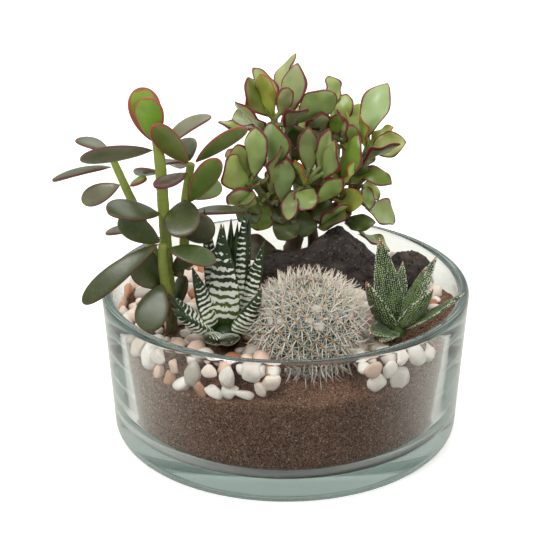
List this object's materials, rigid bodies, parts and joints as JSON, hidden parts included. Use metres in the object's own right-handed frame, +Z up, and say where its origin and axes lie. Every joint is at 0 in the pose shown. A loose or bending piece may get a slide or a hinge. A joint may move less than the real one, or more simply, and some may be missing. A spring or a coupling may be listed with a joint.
{
  "type": "succulent arrangement in pot",
  "caption": "Mixed succulents, a globular cactus, lava rocks and pebbles planted on sandy soil in a low round bowl of thick clear glass.",
  "frame": {"origin": "centre of the bowl's flat foot", "axes": "+Z up; -Y is the front, where the cactus stands; +X to the right seen from the front"},
  "size_m": [0.2209, 0.2, 0.2076],
  "materials": {
    "bowl_glass": "clear, faintly grey-green, polished",
    "soil": "matt, dark brown and gritty with pale specks",
    "pebbles": "smooth matt white and cream pebbles with orange chips",
    "lava_rock": "rough, pitted, near black",
    "cactus_skin": "grey-green skin under white spines",
    "jade_stem": "smooth green, brown towards the soil",
    "jade_leaf": "waxy green with dark red margins",
    "ripple_jade_leaf": "waxy grey-green with wavy maroon margins",
    "zebra_leaf": "dark green with raised white bands",
    "pearl_leaf": "dark green with raised white dots"
  },
  "bodies": {
    "root": {"cactus": "cactus_skin", "glass_bowl": "bowl_glass", "jade_leaf_behind": "jade_leaf", "jade_leaf_brown_right": "jade_leaf", "jade_leaf_curve_left": "jade_leaf", "jade_leaf_dark_left": "jade_leaf", "jade_leaf_dark_low": "jade_leaf", "jade_leaf_down_left": "jade_leaf", "jade_leaf_edge_right": "jade_leaf", "jade_leaf_far_left": "jade_leaf", "jade_leaf_front_grey": "jade_leaf", "jade_leaf_front_low": "jade_leaf", "jade_leaf_front_olive": "jade_leaf", "jade_leaf_front_oval": "jade_leaf", "jade_leaf_front_right": "jade_leaf", "jade_leaf_gloss": "jade_leaf", "jade_leaf_green": "jade_leaf", "jade_leaf_ground_brown": "jade_leaf", "jade_leaf_maroon": "jade_leaf", "jade_leaf_mid_left": "jade_leaf", "jade_leaf_mid_right": "jade_leaf", "jade_leaf_oval": "jade_leaf", "jade_leaf_pale": "jade_leaf", "jade_leaf_red_edge": "jade_leaf", "jade_leaf_small_right": "jade_leaf", "jade_leaf_tip_left": "jade_leaf", "jade_leaf_top_back": "jade_leaf", "jade_leaf_top_front": "jade_leaf", "jade_leaf_top_left": "jade_leaf", "jade_leaf_top_right": "jade_leaf", "jade_stem_front": "jade_stem", "jade_stem_left": "jade_stem", "jade_stem_main": "jade_stem", "jade_stem_right": "jade_stem", "lava_rock_large": "lava_rock", "lava_rock_small": "lava_rock", "pearl_haworthia": "pearl_leaf", "pebble_bed": "pebbles", "ripple_jade": "ripple_jade_leaf", "soil": "soil", "zebra_haworthia": "zebra_leaf"}
  },
  "joints": []
}
